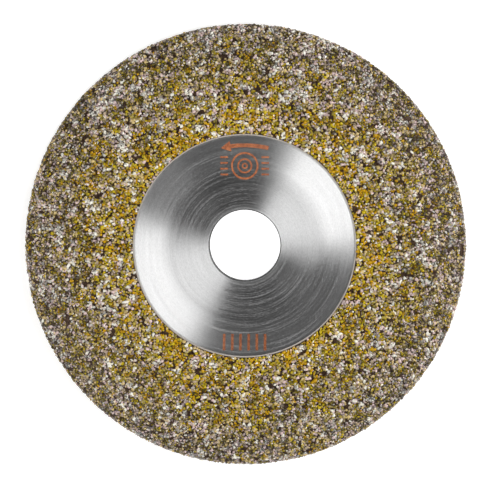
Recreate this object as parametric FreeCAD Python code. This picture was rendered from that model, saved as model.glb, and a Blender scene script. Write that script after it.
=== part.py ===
import FreeCAD, Part
import math
import os

# Electroplated diamond grinding wheel, 100 mm across with a 16 mm bore.
#
# A dished steel body is turned in one piece.  Its convex working face and its
# rim carry a layer of nickel, and the nickel holds one layer of diamond grit.
# Three shallow marks are engraved in the dish and filled with enamel.
#
# The wheel lies face up.  Z is the bore's axis, pointing out of the working
# face, and z = 0 is the rear clamping face.  All lengths are millimetres.

# ---- driving dimensions ----------------------------------------------------
WHEEL_DIAMETER = 100.0          # over the grit
BORE_DIAMETER = 16.0
HUB_THICKNESS = 4.0             # rear clamping face to the dish floor
BORE_CHAMFER = 0.3

FLOOR_RADIUS = 15.6             # where the flat dish floor ends
FLOOR_BLEND_RADIUS = 9.6        # blend from the floor to the cone
CONE_ANGLE = math.radians(22.0)
LAND_INNER_RADIUS = 24.6        # broken edge at the cone's top
LAND_OUTER_RADIUS = 24.75       # the plating starts here

CROWN_START_RADIUS = 35.0       # the working face is flat up to here
CROWN_RADIUS = 29.5             # and then curves back to the rim
WEB_THICKNESS = 2.4
BOSS_RADIUS = 18.0              # rear clamping boss
BOSS_CHAMFER = 0.4

NICKEL_THICKNESS = 0.30
GRIT_THICKNESS = 0.45
GRIT_MARGIN = 0.30              # bare nickel along the plating's edges
REAR_WRAP = 2.5                 # how far the plating runs onto the back

MARK_DEPTH = 0.12               # engraved depth, measured along Z
ENAMEL_SINK = 0.02              # enamel surface below the steel
MARK_CENTRE_ANGLE = math.radians(90.0)
CUT_CLEARANCE = 1.0             # how far the engraving's cut starts above the steel

ARROW_RADIUS = 22.5             # centre line of the curved arrow
ARROW_WIDTH = 0.9
ARROW_HEAD_WIDTH = 2.4
ARROW_TAIL_ANGLE = math.radians(-13.8)
ARROW_NECK_ANGLE = math.radians(8.0)
ARROW_TIP_ANGLE = math.radians(13.8)

RING_CENTRE = 17.9              # distance of the ring mark from the axis
RING_RADII = ((2.65, 3.1), (1.3, 1.7), (0.35, 0.7))
LINE_OFFSET = 4.6               # centre of the short lines beside the rings
LINE_LENGTH = 1.7
LINE_WIDTH = 0.42
LINE_PITCH = 1.3
LINES_PER_SIDE = 4

TICK_COUNT = 6
TICK_WIDTH = 0.6
TICK_HEIGHT = 3.6
TICK_PITCH = 1.84
TICK_CENTRE = 21.7              # distance of the row of ticks from the axis

# ---- derived dimensions ----------------------------------------------------
bore_radius = BORE_DIAMETER / 2
blend_end_radius = FLOOR_RADIUS + FLOOR_BLEND_RADIUS * math.sin(CONE_ANGLE)
blend_end_height = HUB_THICKNESS + FLOOR_BLEND_RADIUS * (1 - math.cos(CONE_ANGLE))
land_height = blend_end_height + (LAND_INNER_RADIUS - blend_end_radius) * math.tan(CONE_ANGLE)
web_back_height = land_height - WEB_THICKNESS

nose_radius = WEB_THICKNESS / 2
coating_thickness = NICKEL_THICKNESS + GRIT_THICKNESS
crown_centre_height = land_height - CROWN_RADIUS
nose_centre_radius = WHEEL_DIAMETER / 2 - coating_thickness - nose_radius
web_middle_radius = CROWN_RADIUS - nose_radius
crown_angle = math.asin((nose_centre_radius - CROWN_START_RADIUS) / web_middle_radius)
wrap_angle = REAR_WRAP / (CROWN_RADIUS - WEB_THICKNESS)

# ---- drawing helpers ---------------------------------------------------------
AXIS = FreeCAD.Vector(0, 0, 1)
ORIGIN = FreeCAD.Vector(0, 0, 0)


def at(radius, height):
    """A point of the wheel's half section."""
    return FreeCAD.Vector(radius, 0, height)


def polar(radius, angle):
    """A point of the front view, with angles measured from the marks' centre line."""
    turned = MARK_CENTRE_ANGLE + angle
    return FreeCAD.Vector(radius * math.cos(turned), radius * math.sin(turned), 0)


def line(start, end):
    return Part.LineSegment(start, end).toShape()


def arc(start, middle, end):
    return Part.Arc(start, middle, end).toShape()


def revolve(edges):
    """Turn a closed half section once about the wheel's axis."""
    face = Part.Face(Part.Wire(edges))
    return face.revolve(ORIGIN, AXIS, 360)


def crown_point(offset, angle):
    """A point of the crown, offset outwards from the steel's front face."""
    reach = CROWN_RADIUS + offset
    return at(CROWN_START_RADIUS + reach * math.sin(angle), crown_centre_height + reach * math.cos(angle))


def nose_point(offset, angle):
    """A point of the rounded rim, offset outwards from the steel."""
    reach = nose_radius + offset
    centre_height = crown_centre_height + web_middle_radius * math.cos(crown_angle)
    return at(nose_centre_radius + reach * math.sin(angle), centre_height + reach * math.cos(angle))


def working_line(offset, start_radius):
    """The face, crown and rim from start_radius round to the back of the rim."""
    front = at(start_radius, land_height + offset)
    crown_start = crown_point(offset, 0)
    crown_end = crown_point(offset, crown_angle)
    nose_end = nose_point(offset, crown_angle + math.pi)
    return [
        line(front, crown_start),
        arc(crown_start, crown_point(offset, crown_angle / 2), crown_end),
        arc(crown_end, nose_point(offset, crown_angle + math.pi / 2), nose_end),
    ]


def rear_arc(offset, start_angle, end_angle):
    """The back of the crown; a positive offset stands out of the steel."""
    inner_offset = -WEB_THICKNESS - offset
    return arc(
        crown_point(inner_offset, start_angle),
        crown_point(inner_offset, (start_angle + end_angle) / 2),
        crown_point(inner_offset, end_angle),
    )


# ---- steel body --------------------------------------------------------------
def dish_line(drop):
    """Dish floor, blend and cone from the bore's chamfer to the land, lowered by drop."""
    floor_start = at(bore_radius + BORE_CHAMFER, HUB_THICKNESS - drop)
    blend_start = at(FLOOR_RADIUS, HUB_THICKNESS - drop)
    half_angle = CONE_ANGLE / 2
    blend_middle = at(
        FLOOR_RADIUS + FLOOR_BLEND_RADIUS * math.sin(half_angle),
        HUB_THICKNESS - drop + FLOOR_BLEND_RADIUS * (1 - math.cos(half_angle)),
    )
    blend_end = at(blend_end_radius, blend_end_height - drop)
    cone_end = at(LAND_INNER_RADIUS, land_height - drop)
    return [
        line(floor_start, blend_start),
        arc(blend_start, blend_middle, blend_end),
        line(blend_end, cone_end),
    ]


def turned_blank():
    """The steel body before it is engraved."""
    back_chamfer_in = at(bore_radius + BORE_CHAMFER, 0)
    bore_low = at(bore_radius, BORE_CHAMFER)
    bore_high = at(bore_radius, HUB_THICKNESS - BORE_CHAMFER)
    floor_start = at(bore_radius + BORE_CHAMFER, HUB_THICKNESS)
    land_start = at(LAND_INNER_RADIUS, land_height)
    land_end = at(LAND_OUTER_RADIUS, land_height)
    web_back_start = at(LAND_INNER_RADIUS, web_back_height)
    boss_side = at(BOSS_RADIUS, BOSS_CHAMFER)
    boss_face_end = at(BOSS_RADIUS - BOSS_CHAMFER, 0)
    edges = [
        line(back_chamfer_in, bore_low),
        line(bore_low, bore_high),
        line(bore_high, floor_start),
    ]
    edges += dish_line(0)
    edges.append(line(land_start, land_end))
    edges += working_line(0, LAND_OUTER_RADIUS)
    edges += [
        rear_arc(0, crown_angle, 0),
        line(crown_point(-WEB_THICKNESS, 0), web_back_start),
        line(web_back_start, boss_side),
        line(boss_side, boss_face_end),
        line(boss_face_end, back_chamfer_in),
    ]
    return revolve(edges)


# ---- plating and grit ----------------------------------------------------------
def coating(inner_offset, outer_offset, margin):
    """One closed layer over the face, the rim and the edge of the back."""
    start_radius = LAND_OUTER_RADIUS + margin
    end_angle = crown_angle - wrap_angle + margin / (CROWN_RADIUS - WEB_THICKNESS)
    outer_end = crown_point(-WEB_THICKNESS - outer_offset, end_angle)
    inner_end = crown_point(-WEB_THICKNESS - inner_offset, end_angle)
    edges = working_line(outer_offset, start_radius)
    edges += [
        rear_arc(outer_offset, crown_angle, end_angle),
        line(outer_end, inner_end),
        rear_arc(inner_offset, end_angle, crown_angle),
    ]
    edges += reversed(working_line(inner_offset, start_radius))
    edge_low = at(start_radius, land_height + inner_offset)
    edge_high = at(start_radius, land_height + outer_offset)
    edges.append(line(edge_low, edge_high))
    return revolve(edges)


# ---- engraved marks --------------------------------------------------------------
def dish_layer(low_drop, high_drop):
    """The dish surface as a thin turned shell, between two depths below the steel."""
    bottom = dish_line(low_drop)
    top = dish_line(high_drop)
    inner = bore_radius + BORE_CHAMFER
    inner_side = line(at(inner, HUB_THICKNESS - high_drop), at(inner, HUB_THICKNESS - low_drop))
    outer = LAND_INNER_RADIUS
    outer_side = line(at(outer, land_height - low_drop), at(outer, land_height - high_drop))
    return revolve([inner_side] + bottom + [outer_side] + list(reversed(top)))


def prism(edges):
    """A column with the given outline, tall enough to pass through the dish."""
    return Part.Face(Part.Wire(edges)).extrude(AXIS * WHEEL_DIAMETER)


def arrow_outline():
    """A curved arrow that shows the direction of rotation, anticlockwise from the front."""
    inner = ARROW_RADIUS - ARROW_WIDTH / 2
    outer = ARROW_RADIUS + ARROW_WIDTH / 2
    head_inner = ARROW_RADIUS - ARROW_HEAD_WIDTH / 2
    head_outer = ARROW_RADIUS + ARROW_HEAD_WIDTH / 2
    middle_angle = (ARROW_TAIL_ANGLE + ARROW_NECK_ANGLE) / 2
    tip = polar(ARROW_RADIUS, ARROW_TIP_ANGLE)
    return [
        arc(polar(inner, ARROW_TAIL_ANGLE), polar(inner, middle_angle), polar(inner, ARROW_NECK_ANGLE)),
        line(polar(inner, ARROW_NECK_ANGLE), polar(head_inner, ARROW_NECK_ANGLE)),
        line(polar(head_inner, ARROW_NECK_ANGLE), tip),
        line(tip, polar(head_outer, ARROW_NECK_ANGLE)),
        line(polar(head_outer, ARROW_NECK_ANGLE), polar(outer, ARROW_NECK_ANGLE)),
        arc(polar(outer, ARROW_NECK_ANGLE), polar(outer, middle_angle), polar(outer, ARROW_TAIL_ANGLE)),
        line(polar(outer, ARROW_TAIL_ANGLE), polar(inner, ARROW_TAIL_ANGLE)),
    ]


def block(centre_x, centre_y, width, height):
    """An upright column with a rectangular outline."""
    corner = FreeCAD.Vector(centre_x - width / 2, centre_y - height / 2, 0)
    return Part.makeBox(width, height, WHEEL_DIAMETER, corner)


def ring_columns():
    """Concentric rings, a plain picture of a wheel, with short lines on both sides."""
    centre = FreeCAD.Vector(0, RING_CENTRE, 0)
    columns = []
    for inner, outer in RING_RADII:
        disc = Part.makeCylinder(outer, WHEEL_DIAMETER, centre)
        columns.append(disc.cut(Part.makeCylinder(inner, WHEEL_DIAMETER, centre)))
    first_line = RING_CENTRE - LINE_PITCH * (LINES_PER_SIDE - 1) / 2
    for side in (-1, 1):
        for row in range(LINES_PER_SIDE):
            height = first_line + row * LINE_PITCH
            columns.append(block(side * LINE_OFFSET, height, LINE_LENGTH, LINE_WIDTH))
    return columns


def tick_columns():
    """A row of upright ticks that stands for the coarseness of the grit."""
    first = -TICK_PITCH * (TICK_COUNT - 1) / 2
    return [block(first + i * TICK_PITCH, -TICK_CENTRE, TICK_WIDTH, TICK_HEIGHT) for i in range(TICK_COUNT)]


def engrave(steel, columns):
    """Cut the marks into the steel and return it with the enamel that fills them."""
    cutter = dish_layer(MARK_DEPTH, -CUT_CLEARANCE)
    fill = dish_layer(MARK_DEPTH, ENAMEL_SINK)
    enamel = []
    for column in columns:
        steel = steel.cut(cutter.common(column))
        enamel += fill.common(column).Solids
    return steel, Part.makeCompound(enamel)


# ---- build -------------------------------------------------------------------
steel_body = turned_blank()
steel_body, rotation_arrow_paint = engrave(steel_body, [prism(arrow_outline())])
steel_body, wheel_mark_paint = engrave(steel_body, ring_columns())
steel_body, grit_ticks_paint = engrave(steel_body, tick_columns())

nodes = {
    "steel_body": steel_body,
    "nickel_bond": coating(0, NICKEL_THICKNESS, 0),
    "diamond_grit": coating(NICKEL_THICKNESS, coating_thickness, GRIT_MARGIN),
    "rotation_arrow_paint": rotation_arrow_paint,
    "wheel_mark_paint": wheel_mark_paint,
    "grit_ticks_paint": grit_ticks_paint,
}

os.makedirs("parts", exist_ok=True)
for name, shape in nodes.items():
    box = shape.optimalBoundingBox(False)
    print(name, "solids", len(shape.Solids), "valid", shape.isValid(), "volume", round(shape.Volume, 2),
          "z", round(box.ZMin, 3), "to", round(box.ZMax, 3), "radius", round(box.XMax, 3))
    shape.exportStep(f"parts/{name}.step")
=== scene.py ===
import math

import bmesh
import bpy
import numpy as np
from mathutils import Matrix, Vector, noise
from mathutils.bvhtree import BVHTree


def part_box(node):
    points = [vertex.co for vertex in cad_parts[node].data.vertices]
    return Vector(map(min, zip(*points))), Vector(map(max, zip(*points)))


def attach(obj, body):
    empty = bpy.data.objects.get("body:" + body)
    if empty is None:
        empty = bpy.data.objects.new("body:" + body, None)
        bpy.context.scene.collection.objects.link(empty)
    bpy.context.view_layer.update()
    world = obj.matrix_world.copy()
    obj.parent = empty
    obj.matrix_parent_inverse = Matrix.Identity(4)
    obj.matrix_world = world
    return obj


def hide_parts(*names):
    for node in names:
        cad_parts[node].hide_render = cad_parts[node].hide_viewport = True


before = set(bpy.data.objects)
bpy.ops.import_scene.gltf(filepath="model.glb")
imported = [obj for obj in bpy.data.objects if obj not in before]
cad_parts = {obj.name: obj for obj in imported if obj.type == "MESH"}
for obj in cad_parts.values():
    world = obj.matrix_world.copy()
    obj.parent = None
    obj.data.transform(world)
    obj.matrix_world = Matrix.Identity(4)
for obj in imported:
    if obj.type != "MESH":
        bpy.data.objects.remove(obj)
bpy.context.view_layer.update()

# A plated diamond grinding wheel, lying face up on a pale floor.  The CAD's steel, nickel and
# enamel get finished materials, and single grains stand for its plain layer of grit.
# Everything is in metres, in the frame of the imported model.

MM = 0.001
SEED = 7
rng = np.random.default_rng(SEED)


def inner_radius(node):
    """How near a CAD node comes to the wheel's axis."""
    return min(v.co.xy.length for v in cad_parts[node].data.vertices)


WHEEL_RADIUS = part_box("diamond_grit")[1].x
PLATING_RADIUS = inner_radius("nickel_bond")
BORE_RADIUS = inner_radius("steel_body")

# ---- steel, nickel and enamel ----------------------------------------------------
STEEL_TONES = ((0.38, (0.53, 0.53, 0.53)), (0.50, (0.60, 0.60, 0.60)), (0.62, (0.66, 0.66, 0.66)))
# the nickel's dark tones are painted shade, for the shade that falls between the grains
NICKEL_PAINTED_SHADE_TONES = ((0.35, (0.014, 0.006, 0.004)), (0.65, (0.075, 0.044, 0.026)))
LIP_COLOUR = (0.52, 0.475, 0.43, 1.0)
ENAMEL_TONES = ((0.30, (0.24, 0.07, 0.03)), (0.55, (0.50, 0.155, 0.055)), (0.75, (0.62, 0.24, 0.10)))
MARK_BRIGHTNESS = 0.82
TICK_BRIGHTNESS = 0.63            # the ticks' enamel is darker

# ---- grains: their sizes, and how they sit in the nickel --------------------------
GRAIN_RADII = (0.51 * MM, 0.43 * MM, 0.35 * MM, 0.28 * MM)
GRAIN_TRIES = (9000, 22000, 45000, 70000)    # for each size: most tries find no room
RIM_GRAIN_SIZE = 0.82             # grains at the rim, in the size of those near the hub
GRAIN_GAP = 0.57                  # least distance between grains, in the sum of their radii
GRAIN_REACH = 0.9                 # how far a grain reaches sideways, in its radius
GRAIN_LIFT = (-0.04 * MM, 0.14 * MM)
GRAIN_FLATNESS = (0.60, 0.85)     # height of a grain in its width
GRAIN_LENGTH = (0.95, 1.35)       # how far a grain is drawn out along the nickel
CLEAR_GRAIN_LENGTH = (1.1, 1.7)   # the clearest grains are longer
LIP_WIDTH = 0.17 * MM             # bare nickel between the hub and the first grains
VOID_SIZE = 1.1 * MM              # scale of the places that no grain took
VOID_LIMIT = 0.40                 # noise above this leaves such a place
ON_NICKEL = 0.05 * MM             # faces of the grit layer nearer than this lie on the nickel
OPPOSED = -0.9                    # if their normals are opposed at least this far
PROTOTYPES = 24
CORNERS = (7, 11)                 # corners of a grain, from and below
CORNER_REACH = (0.80, 1.10)       # how far a corner stands from the middle
GRAIN_STRETCH = (0.85, 1.25)      # along each of a prototype's own axes
SPREAD_STEPS = 12                 # steps that push the corners apart
SPREAD_STEP = 0.1
SPREAD_SOFTNESS = 0.05            # keeps the push finite where corners meet
SECTORS = 6

# ---- grain colours ----------------------------------------------------------------
# A crystal colour is a hue, made in a few tones, and an index of refraction.  They run from
# the strongest hue to the palest.  A grain has one colour and a tone, and its facets take
# that tone or one near it: painted light and shade, for the light inside a crystal that
# leaves by some facets only.  The tones serve both as random tone and as lit and shaded copies of a
# colour.
CRYSTALS = {
    "amber": ((0.43, 0.243, 0.002), 1.4),
    "yellow": ((0.43, 0.318, 0.006), 1.45),
    "olive": ((0.325, 0.250, 0.034), 1.5),
    "straw": ((0.52, 0.390, 0.16), 1.6),
    "smoke": ((0.37, 0.280, 0.18), 1.8),
    "rose": ((0.57, 0.42, 0.40), 2.0),
    "clear": ((0.75, 0.72, 0.63), 2.2),
}
PALE_FROM = 3                     # straw, smoke, rose and clear
TONES = (0.15, 0.38, 0.66, 1.0, 1.35)    # what each tone multiplies a hue by
BRIGHTEST = 0.95                  # the most that this makes of any part of the hue

# a grain's mood picks its colour: each limit is where one colour gives way to the next; towards the
# rim the pale colours gain, as painted sheen
HUB_LIMITS = (-0.11, 0.04, 0.16, 0.24, 0.30, 0.38)
RIM_LIMITS = (-0.48, -0.33, -0.16, -0.02, 0.10, 0.28)
PATCH_SIZE = 1.5 * MM             # grains of like colour lie in patches
PATCH_WEIGHT = 0.66
BROAD_PATCH_SIZE = 6.0 * MM       # and these in broader ones
BROAD_PATCH_WEIGHT = 0.25
MOOD_CHANCE = 0.18

# a grain's tone, as a place in TONES, and how it changes out to the rim
HUB_TONE = 3.67
HUB_TONE_CHANCE = 0.80
RIM_TONE_CHANCE = 0.40
# painted shade: grains grow darker towards the rim, where the crowned face slopes away; the pale ones
# grow lighter there, a painted sheen
RIM_PAINTED_SHADE = 1.85
RIM_WARM_PAINTED_SHADE = -0.45             # for the warm colours
RIM_PALE_PAINTED_SHEEN = 0.30              # for the pale ones
SHADE_SIZE = 3.0 * MM             # places of like tone
SHADE_WEIGHT = 1.2
FACET_TONE = -0.1                 # a facet's tone, counted from its grain's
HUB_FACET_CHANCE = 0.60
RIM_FACET_CHANCE = 0.50
# painted highlights: pale facets that stand in for glints of reflected light
PAINTED_GLINTS = (0.12, 0.24)             # share of pale facets on any grain, near the hub and at the rim

# ---- stage ------------------------------------------------------------------------
FLOOR_GLOW = (0.42, 0.8)          # beside the wheel and away from it
FLOOR_LEVEL = -0.05 * MM          # just clear of the wheel's rear face
FLOOR_REACH = 4.0
ROOM_LIGHT = (0.48, 0.03)         # its strength at the horizon and overhead
WHITE = (1.0, 1.0, 1.0, 1.0)

# soft lamps: azimuth and elevation in degrees, width, height, and power in watts
LAMPS = {
    "key": (22, 42, 0.56, 0.34, 2.15),
    "fill": (213, 42, 0.40, 0.34, 1.5),
    "edge": (328, 45, 0.30, 0.30, 0.12),
}
LAMP_DISTANCE = 0.48

CAMERA_AZIMUTH = 60
CAMERA_ELEVATION = 87
TARGET_HEIGHT = 2.3 * MM
VIEW_WIDTH = 2.215 * WHEEL_RADIUS
LENS = 150.0                      # focal length in millimetres, as is the sensor
SENSOR = 36.0


# ---- materials --------------------------------------------------------------------
class Nodes:
    """Short calls for building a node tree.  An underscore in an input's name is a space."""

    def __init__(self, tree):
        self.tree = tree

    def plug(self, node, name, value):
        """Link another node's output to an input, or set it to a plain value."""
        if isinstance(value, bpy.types.NodeSocket):
            self.tree.links.new(value, node.inputs[name])
        else:
            node.inputs[name].default_value = value

    def add(self, kind, **inputs):
        """A new node with the inputs that are named."""
        node = self.tree.nodes.new("ShaderNode" + kind)
        for name, value in inputs.items():
            self.plug(node, name.replace("_", " "), value)
        return node

    def math(self, operation, first, second):
        """A Math node's result."""
        node = self.tree.nodes.new("ShaderNodeMath")
        node.operation = operation
        self.plug(node, 0, first)
        self.plug(node, 1, second)
        return node.outputs[0]

    def vector(self, operation, first, **others):
        """A Vector Math node's result: its second vector or its scale is given by name."""
        node = self.tree.nodes.new("ShaderNodeVectorMath")
        node.operation = operation
        self.plug(node, 0, first)
        if "second" in others:
            self.plug(node, 1, others["second"])
        if "scale" in others:
            self.plug(node, "Scale", others["scale"])
        return node.outputs["Value" if operation in ("LENGTH", "DOT_PRODUCT") else "Vector"]

    def span(self, value, source, target=(0.0, 1.0)):
        """A value carried from one range to another, and held at its ends."""
        node = self.add("MapRange", Value=value, From_Min=source[0], From_Max=source[1],
                        To_Min=target[0], To_Max=target[1])
        return node.outputs["Result"]

    def blend(self, first, second, share):
        """Two values mixed, with that share of the second."""
        rest = self.math("MULTIPLY", first, 1 - share)
        return self.math("ADD", rest, self.math("MULTIPLY", second, share))

    def ramp(self, value, stops):
        """A colour that follows a value through stops, each a place and a colour."""
        node = self.tree.nodes.new("ShaderNodeValToRGB")
        elements = node.color_ramp.elements
        while len(elements) < len(stops):
            elements.new(0.5)
        for element, (place, colour) in zip(elements, stops):
            element.position = place
            element.color = (*colour, 1.0)
        self.plug(node, "Fac", value)
        return node.outputs["Color"]

    def cloud(self, place, scale, detail, roughness=0.5):
        """Noise at a place, from 0 to 1."""
        node = self.add("TexNoise", Vector=place, Scale=scale, Detail=detail, Roughness=roughness)
        return node.outputs["Fac"]


class Surface(Nodes):
    """A new material's node tree, with calls for surfaces that run round the wheel's axis."""

    def __init__(self, name):
        self.material = bpy.data.materials.new(name)
        self.material.use_nodes = True
        super().__init__(self.material.node_tree)
        self.shader = self.tree.nodes["Principled BSDF"]

    def set(self, **inputs):
        """Inputs of the material's shader."""
        for name, value in inputs.items():
            self.plug(self.shader, name.replace("_", " "), value)

    def place(self):
        """The place on the wheel, in metres."""
        return self.add("TexCoord").outputs["Object"]

    def from_axis(self):
        """The place as seen from the wheel's axis, level with it."""
        return self.vector("MULTIPLY", self.place(), second=(1, 1, 0))

    def radius(self):
        """The distance from the wheel's axis."""
        return self.vector("LENGTH", self.from_axis())

    def turned_normal(self):
        """The normal of a truly round surface, which the mesh's facets and seam don't show in."""
        normal = self.add("TexCoord").outputs["Normal"]
        outward = self.vector("NORMALIZE", self.from_axis())
        level = self.vector("SCALE", outward, scale=self.vector("DOT_PRODUCT", normal, second=outward))
        upright = self.vector("MULTIPLY", normal, second=(0, 0, 1))
        return self.vector("NORMALIZE", self.vector("ADD", level, second=upright))

    def round_tangent(self):
        """The direction round the wheel's axis, which the tool marks run in."""
        node = self.tree.nodes.new("ShaderNodeTangent")
        node.direction_type = "RADIAL"
        node.axis = "Z"
        return node.outputs["Tangent"]

    def bump(self, height, strength, distance, **others):
        """The normal over small bumps of a height."""
        node = self.add("Bump", Height=height, Strength=strength, Distance=distance, **others)
        return node.outputs["Normal"]


def turned_steel():
    """Bright steel with concentric tool marks: the gloss spreads across the marks, not along them."""
    n = Surface("turned_steel")
    place = n.add("SeparateXYZ", Vector=n.place())
    radius = n.radius()

    def streaks(per_mm, round_scale, detail):
        """Noise that changes quickly with the radius and slowly round the wheel."""
        x = n.math("MULTIPLY", place.outputs["X"], round_scale)
        y = n.math("MULTIPLY", place.outputs["Y"], round_scale)
        z = n.math("MULTIPLY", radius, per_mm / MM)
        along = n.add("CombineXYZ", X=x, Y=y, Z=z).outputs["Vector"]
        return n.cloud(along, scale=1.0, detail=detail, roughness=0.65)

    scratches = streaks(per_mm=6.0, round_scale=70.0, detail=2.0)
    turning = streaks(per_mm=2.0, round_scale=15.0, detail=3.0)
    specks = streaks(per_mm=6.0, round_scale=2200.0, detail=1.0)
    marks = n.blend(scratches, turning, share=0.4)
    colour = n.ramp(n.blend(marks, specks, share=0.5), STEEL_TONES)
    # painted shade: the bore and its chamfer are darkened in the colour, because little light comes
    # back out of the hole
    edge = n.span(radius, (BORE_RADIUS + 0.10 * MM, BORE_RADIUS + 0.30 * MM), (0.12, 1.0))
    # the scratches scatter a little light every way, which shows where the gloss is dark
    matt = n.span(n.blend(marks, specks, share=0.3), (0.50, 0.61), (1.0, 0.74))
    # and so does a ring beside the bore, where the spindle's shoulder has rubbed
    rubbed = n.span(radius, (BORE_RADIUS + 0.6 * MM, BORE_RADIUS + 1.4 * MM), (-0.09, 0.0))
    grooves = n.bump(marks, strength=0.15, distance=0.01 * MM, Normal=n.turned_normal())
    n.set(Base_Color=n.vector("SCALE", colour, scale=edge),
          Roughness=n.span(marks, (0.36, 0.64), (0.31, 0.42)),
          Metallic=n.math("ADD", matt, rubbed), Normal=grooves,
          Tangent=n.round_tangent(), Anisotropic=1.0, Anisotropic_Rotation=0.25)
    return n.material


def plated_nickel():
    """Dull electroplated nickel with a nodular surface: pale at the bare lip, and coloured almost
    black between grains as painted shade.
    """
    n = Surface("plated_nickel")
    nodules = n.cloud(n.place(), scale=2600.0, detail=3.0)
    # painted shade: beyond the lip the nickel is coloured almost black, for the shade between the
    # grains
    between = n.ramp(nodules, NICKEL_PAINTED_SHADE_TONES)
    mix = n.tree.nodes.new("ShaderNodeMix")
    mix.data_type = "RGBA"
    lip_end = PLATING_RADIUS + LIP_WIDTH
    n.plug(mix, "Factor", n.span(n.radius(), (lip_end, lip_end + LIP_WIDTH)))
    n.plug(mix, "A", LIP_COLOUR)
    n.plug(mix, "B", between)
    n.set(Base_Color=mix.outputs["Result"], Metallic=0.3, Roughness=0.5, Specular_IOR_Level=0.15,
          Normal=n.bump(nodules, strength=0.5, distance=0.05 * MM))
    return n.material


def mark_enamel(name, brightness):
    """Orange enamel, thin and slightly uneven, in an engraved mark."""
    n = Surface(name)
    wear = n.cloud(n.place(), scale=1500.0, detail=4.0)
    tones = [(at, [part * brightness for part in tone]) for at, tone in ENAMEL_TONES]
    n.set(Base_Color=n.ramp(wear, tones), Roughness=0.45,
          Normal=n.bump(wear, strength=0.3, distance=0.02 * MM))
    return n.material


def crystal_materials():
    """One material for each crystal colour and tone, the tones of one colour together."""
    made = []
    for name, (colour, index) in CRYSTALS.items():
        for step, tone in enumerate(TONES):
            light = min(tone, BRIGHTEST / max(colour))
            shade = [part * light for part in colour]
            n = Surface(f"diamond_{name}_{step + 1}")
            n.set(Base_Color=(*shade, 1.0), Roughness=0.2, IOR=index)
            made.append(n.material)
    return made


def pale_floor():
    """White card that glows least round the wheel's edge, so that a soft shadow stays there."""
    n = Surface("pale_floor")
    radius = n.radius()
    away = n.span(radius, (1.2 * WHEEL_RADIUS, 4 * WHEEL_RADIUS), FLOOR_GLOW)
    # painted light: the card glows more under the bore, so that no shade shows through the hole
    bore_glow = n.span(radius, (BORE_RADIUS, 2 * BORE_RADIUS), FLOOR_GLOW[::-1])
    n.set(Base_Color=(0.9, 0.9, 0.9, 1.0), Roughness=0.9,
          Emission_Color=WHITE, Emission_Strength=n.math("MAXIMUM", away, bore_glow))
    return n.material


# ---- grit -------------------------------------------------------------------------
def plating_surface():
    """Triangles where the grit layer lies on the nickel, and the way out of the nickel on each."""
    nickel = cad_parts["nickel_bond"].data
    faces = [p.vertices[:] for p in nickel.polygons]
    near = BVHTree.FromPolygons([v.co[:] for v in nickel.vertices], faces)
    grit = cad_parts["diamond_grit"].data
    corners, normals = [], []
    for face in grit.polygons:
        _, facing, _, distance = near.find_nearest(face.center)
        if distance < ON_NICKEL and facing.dot(face.normal) < OPPOSED:
            corners.append([grit.vertices[i].co[:] for i in face.vertices])
            normals.append([-part for part in face.normal])
    return np.array(corners), np.array(normals)


def outwardness(x, y):
    """How far out on the coating a place is: 0 at the hub, 1 at the rim."""
    return (np.hypot(x, y) - PLATING_RADIUS) / (WHEEL_RADIUS - PLATING_RADIUS)


def scatter():
    """Random grain places, the large grains first and smaller ones in the gaps between them."""
    corners, normals = plating_surface()
    edge_a = corners[:, 1] - corners[:, 0]
    edge_b = corners[:, 2] - corners[:, 0]
    area = np.linalg.norm(np.cross(edge_a, edge_b), axis=1)
    share = area / area.sum()
    # placed grains are kept by cell, so that only those near a new one are compared with it
    cell = 2 * GRAIN_RADII[0]
    grid = {}
    places, outward, radii = [], [], []
    for radius, tries in zip(GRAIN_RADII, GRAIN_TRIES):
        face = rng.choice(len(share), size=tries, p=share)
        u, v = rng.random((2, tries))
        # a place beyond the triangle's long side folds back into the triangle
        folded = u + v > 1
        u[folded], v[folded] = 1 - u[folded], 1 - v[folded]
        points = corners[face, 0] + u[:, None] * edge_a[face] + v[:, None] * edge_b[face]
        sizes = radius * (1 + (RIM_GRAIN_SIZE - 1) * outwardness(points[:, 0], points[:, 1]))
        for point, index, size in zip(points.tolist(), face.tolist(), sizes.tolist()):
            nearest = math.hypot(point[0], point[1]) - GRAIN_REACH * size
            on_lip = nearest < PLATING_RADIUS + LIP_WIDTH
            if on_lip or noise.noise(Vector(point) / VOID_SIZE) > VOID_LIMIT:
                continue
            key = tuple(int(math.floor(part / cell)) for part in point)
            if fits(point, size, key, grid):
                grid.setdefault(key, []).append((point, size))
                places.append(point)
                outward.append(normals[index])
                radii.append(size)
    return np.array(places), np.array(outward), np.array(radii)


def fits(point, radius, key, grid):
    """True if no grain already placed is too near."""
    x, y, z = point
    for i in (-1, 0, 1):
        for j in (-1, 0, 1):
            for k in (-1, 0, 1):
                for other, size in grid.get((key[0] + i, key[1] + j, key[2] + k), ()):
                    least = GRAIN_GAP * (radius + size)
                    if (x - other[0]) ** 2 + (y - other[1]) ** 2 + (z - other[2]) ** 2 < least * least:
                        return False
    return True


def grain_prototype():
    """A broken crystal: the hull of a few scattered corners, so its facets are large and flat."""
    count = int(rng.integers(*CORNERS))
    corners = rng.normal(size=(count, 3))
    for _ in range(SPREAD_STEPS):
        apart = corners[:, None] - corners[None]
        push = apart / (np.square(apart).sum(axis=2, keepdims=True) + SPREAD_SOFTNESS)
        corners = corners + SPREAD_STEP * push.sum(axis=1)
        corners /= np.linalg.norm(corners, axis=1, keepdims=True)
    corners *= rng.uniform(*CORNER_REACH, (count, 1)) * rng.uniform(*GRAIN_STRETCH, 3)
    solid = bmesh.new()
    for corner in corners:
        solid.verts.new(corner)
    hull = bmesh.ops.convex_hull(solid, input=solid.verts)
    bmesh.ops.delete(solid, geom=hull["geom_interior"], context="VERTS")
    bmesh.ops.recalc_face_normals(solid, faces=solid.faces)
    solid.verts.index_update()
    points = np.array([v.co[:] for v in solid.verts])
    faces = np.array([[v.index for v in face.verts] for face in solid.faces])
    solid.free()
    return points, faces


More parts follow.
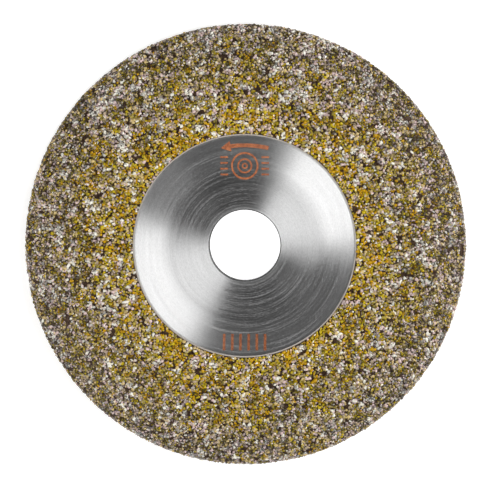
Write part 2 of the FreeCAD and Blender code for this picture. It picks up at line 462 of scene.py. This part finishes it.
def random_turns(count):
    """Rotation matrices with no preferred direction, each from a random quaternion."""
    q = rng.normal(size=(count, 4))
    w, x, y, z = (q / np.linalg.norm(q, axis=1, keepdims=True)).T
    rows = [1 - 2 * (y * y + z * z), 2 * (x * y - z * w), 2 * (x * z + y * w),
            2 * (x * y + z * w), 1 - 2 * (x * x + z * z), 2 * (y * z - x * w),
            2 * (x * z - y * w), 2 * (y * z + x * w), 1 - 2 * (x * x + y * y)]
    return np.stack(rows, axis=1).reshape(count, 3, 3)


def slow_noise(places, size, offset=(0, 0, 0)):
    """Noise at each place that changes over about a size."""
    return np.array([noise.noise(Vector(place) / size + Vector(offset)) for place in places])


def crystal_choice(places, outer):
    """Each grain's colour and tone: yellow and bright near the hub, grey and dull near the rim, the
    rim's grey a painted sheen and its dullness painted shade.
    """
    patch = slow_noise(places, PATCH_SIZE)
    broad = slow_noise(places, BROAD_PATCH_SIZE, (7, 3, 1))
    mood = PATCH_WEIGHT * patch + BROAD_PATCH_WEIGHT * broad + rng.normal(0, MOOD_CHANCE, len(places))
    limits = np.array(HUB_LIMITS) + outer[:, None] * np.subtract(RIM_LIMITS, HUB_LIMITS)
    colour = (mood[:, None] > limits).sum(axis=1)
    shade = slow_noise(places, SHADE_SIZE, (2, 9, 5))
    tone = rng.normal(HUB_TONE, HUB_TONE_CHANCE + RIM_TONE_CHANCE * outer)
    # painted shade and sheen: darker towards the rim, and the pale colours lighter there
    tone = tone - RIM_PAINTED_SHADE * outer + SHADE_WEIGHT * shade
    tone += np.where(colour < PALE_FROM, RIM_WARM_PAINTED_SHADE, RIM_PALE_PAINTED_SHEEN) * outer
    return colour, tone


def facet_materials(colour, tone, outer, facets):
    """The material of each facet of each grain, as its place among crystal_materials."""
    shape = (len(colour), facets)
    chance = HUB_FACET_CHANCE + RIM_FACET_CHANCE * outer[:, None]
    step = np.rint(tone[:, None] + rng.normal(FACET_TONE, chance, shape))
    step = np.clip(step, 0, len(TONES) - 1).astype(int)
    hue = np.repeat(colour[:, None], facets, axis=1)
    # painted highlights: some facets take a pale colour, as glints
    painted_glints = rng.random(shape) < PAINTED_GLINTS[0] + (PAINTED_GLINTS[1] - PAINTED_GLINTS[0]) * outer[:, None]
    hue[painted_glints] = rng.integers(PALE_FROM, len(CRYSTALS), painted_glints.sum())
    return (hue * len(TONES) + step).reshape(-1)


def along(direction, scale):
    """Matrices that scale by an amount along a direction, and leave the rest as it is."""
    onto = direction[:, :, None] * direction[:, None, :]
    return np.eye(3) + (scale - 1)[:, None, None] * onto


def grain_matrices(outward, radii, colour):
    """How each grain's prototype is turned, flattened onto the nickel, lengthened and sized."""
    count = len(radii)
    sideways = np.cross(outward, rng.normal(size=(count, 3)))
    sideways /= np.linalg.norm(sideways, axis=1, keepdims=True)
    clear = colour == len(CRYSTALS) - 1
    clear_length = rng.uniform(*CLEAR_GRAIN_LENGTH, count)
    length = np.where(clear, clear_length, rng.uniform(*GRAIN_LENGTH, count))
    flatten = along(outward, rng.uniform(*GRAIN_FLATNESS, count))
    return along(sideways, length) @ flatten @ random_turns(count) * radii[:, None, None]


def mesh_object(name, points, faces):
    """An object from arrays of points and of faces, which all have as many corners."""
    mesh = bpy.data.meshes.new(name)
    mesh.vertices.add(len(points))
    mesh.vertices.foreach_set("co", points.astype(np.float32).reshape(-1))
    mesh.loops.add(faces.size)
    mesh.loops.foreach_set("vertex_index", faces.astype(np.int32).reshape(-1))
    mesh.polygons.add(len(faces))
    mesh.polygons.foreach_set("loop_start", np.arange(0, faces.size, faces.shape[1], dtype=np.int32))
    mesh.update(calc_edges=True)
    mesh.validate()
    item = bpy.data.objects.new(name, mesh)
    bpy.context.collection.objects.link(item)
    return item


def build_sector(name, grains, prototypes, materials):
    """The grains of one sector as one piece, prototype by prototype."""
    points, faces, slots = [], [], []
    start = 0
    for index, (shape, triangles) in enumerate(prototypes):
        same = {key: values[grains["kind"] == index] for key, values in grains.items()}
        count = len(same["kind"])
        corners = np.einsum("nij,vj->nvi", same["shaping"], shape) + same["centre"][:, None]
        offset = start + np.arange(count)[:, None, None] * len(shape)
        points.append(corners.reshape(-1, 3))
        faces.append((triangles[None] + offset).reshape(-1, 3))
        slots.append(facet_materials(same["colour"], same["tone"], same["outer"], len(triangles)))
        start += count * len(shape)
    piece = mesh_object(name, np.concatenate(points), np.concatenate(faces))
    for material in materials:
        piece.data.materials.append(material)
    piece.data.polygons.foreach_set("material_index", np.concatenate(slots).astype(np.int32))
    return piece


def build_grit(materials):
    """Every grain, joined by sector so that no piece grows too large."""
    places, outward, radii = scatter()
    prototypes = [grain_prototype() for _ in range(PROTOTYPES)]
    grains = {"kind": rng.integers(PROTOTYPES, size=len(places))}
    grains["outer"] = outwardness(places[:, 0], places[:, 1])
    grains["colour"], grains["tone"] = crystal_choice(places, grains["outer"])
    grains["shaping"] = grain_matrices(outward, radii, grains["colour"])
    grains["centre"] = places + outward * rng.uniform(*GRAIN_LIFT, (len(places), 1))
    turns = np.arctan2(places[:, 1], places[:, 0]) / math.tau + 1
    sector = (turns * SECTORS).astype(int) % SECTORS
    pieces = []
    for number in range(SECTORS):
        inside = {key: values[sector == number] for key, values in grains.items()}
        pieces.append(build_sector(f"diamond_grains_{number + 1}", inside, prototypes, materials))
    return pieces


# ---- floor, light and camera ------------------------------------------------------
def towards(azimuth, elevation):
    """The direction at an azimuth and an elevation, in degrees."""
    turn, rise = math.radians(azimuth), math.radians(elevation)
    return Vector((math.cos(turn) * math.cos(rise), math.sin(turn) * math.cos(rise), math.sin(rise)))


def build_floor():
    """A large sheet of the pale card under the wheel."""
    outline = ((-1, -1), (1, -1), (1, 1), (-1, 1))
    corners = np.array([(x * FLOOR_REACH, y * FLOOR_REACH, FLOOR_LEVEL) for x, y in outline])
    item = mesh_object("floor", corners, np.array([(0, 1, 2, 3)]))
    item.data.materials.append(pale_floor())


def softbox(name, azimuth, elevation, width, height, power):
    """A large soft light that looks at the wheel."""
    data = bpy.data.lights.new(name, "AREA")
    data.shape = "RECTANGLE"
    data.size, data.size_y = width, height
    data.energy = power
    item = bpy.data.objects.new(name, data)
    away = towards(azimuth, elevation)
    item.location = away * LAMP_DISTANCE
    item.rotation_euler = away.to_track_quat("Z", "Y").to_euler()
    bpy.context.collection.objects.link(item)


def build_room():
    """A dim room that is brighter towards the table, behind a white backdrop."""
    world = bpy.data.worlds.new("studio")
    bpy.context.scene.world = world
    world.use_nodes = True
    n = Nodes(world.node_tree)
    direction = n.add("SeparateXYZ", Vector=n.add("TexCoord").outputs["Generated"])
    room = n.tree.nodes["Background"]
    n.plug(room, "Color", WHITE)
    n.plug(room, "Strength", n.span(direction.outputs["Z"], (0.0, 1.0), ROOM_LIGHT))
    backdrop = n.add("Background", Color=WHITE)
    mix = n.add("MixShader", Fac=n.add("LightPath").outputs["Is Camera Ray"])
    n.plug(mix, 1, room.outputs["Background"])
    n.plug(mix, 2, backdrop.outputs["Background"])
    n.plug(n.tree.nodes["World Output"], "Surface", mix.outputs["Shader"])
    bpy.context.scene.view_settings.view_transform = "Standard"


def build_camera():
    """A long lens almost straight above the wheel, a few degrees off its axis."""
    data = bpy.data.cameras.new("camera")
    data.lens, data.sensor_width = LENS, SENSOR
    item = bpy.data.objects.new("camera", data)
    away = towards(CAMERA_AZIMUTH, CAMERA_ELEVATION)
    item.location = Vector((0.0, 0.0, TARGET_HEIGHT)) + away * (VIEW_WIDTH * LENS / SENSOR)
    right = Vector((0, 1, 0)).cross(away).normalized()
    item.rotation_euler = Matrix((right, away.cross(right), away)).transposed().to_euler()
    bpy.context.collection.objects.link(item)
    bpy.context.scene.camera = item


# ---- assembly ---------------------------------------------------------------------
def dress(node, material):
    """Give a CAD node's slots a finished material."""
    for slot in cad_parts[node].material_slots:
        slot.material = material


build_camera()
build_room()
for lamp, measures in LAMPS.items():
    softbox(lamp, *measures)
build_floor()

dress("steel_body", turned_steel())
dress("nickel_bond", plated_nickel())
enamel = mark_enamel("mark_enamel", MARK_BRIGHTNESS)
dress("rotation_arrow_paint", enamel)
dress("wheel_mark_paint", enamel)
dress("grit_ticks_paint", mark_enamel("mark_enamel_dull", TICK_BRIGHTNESS))

for piece in build_grit(crystal_materials()):
    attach(piece, "root")
    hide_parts("diamond_grit")
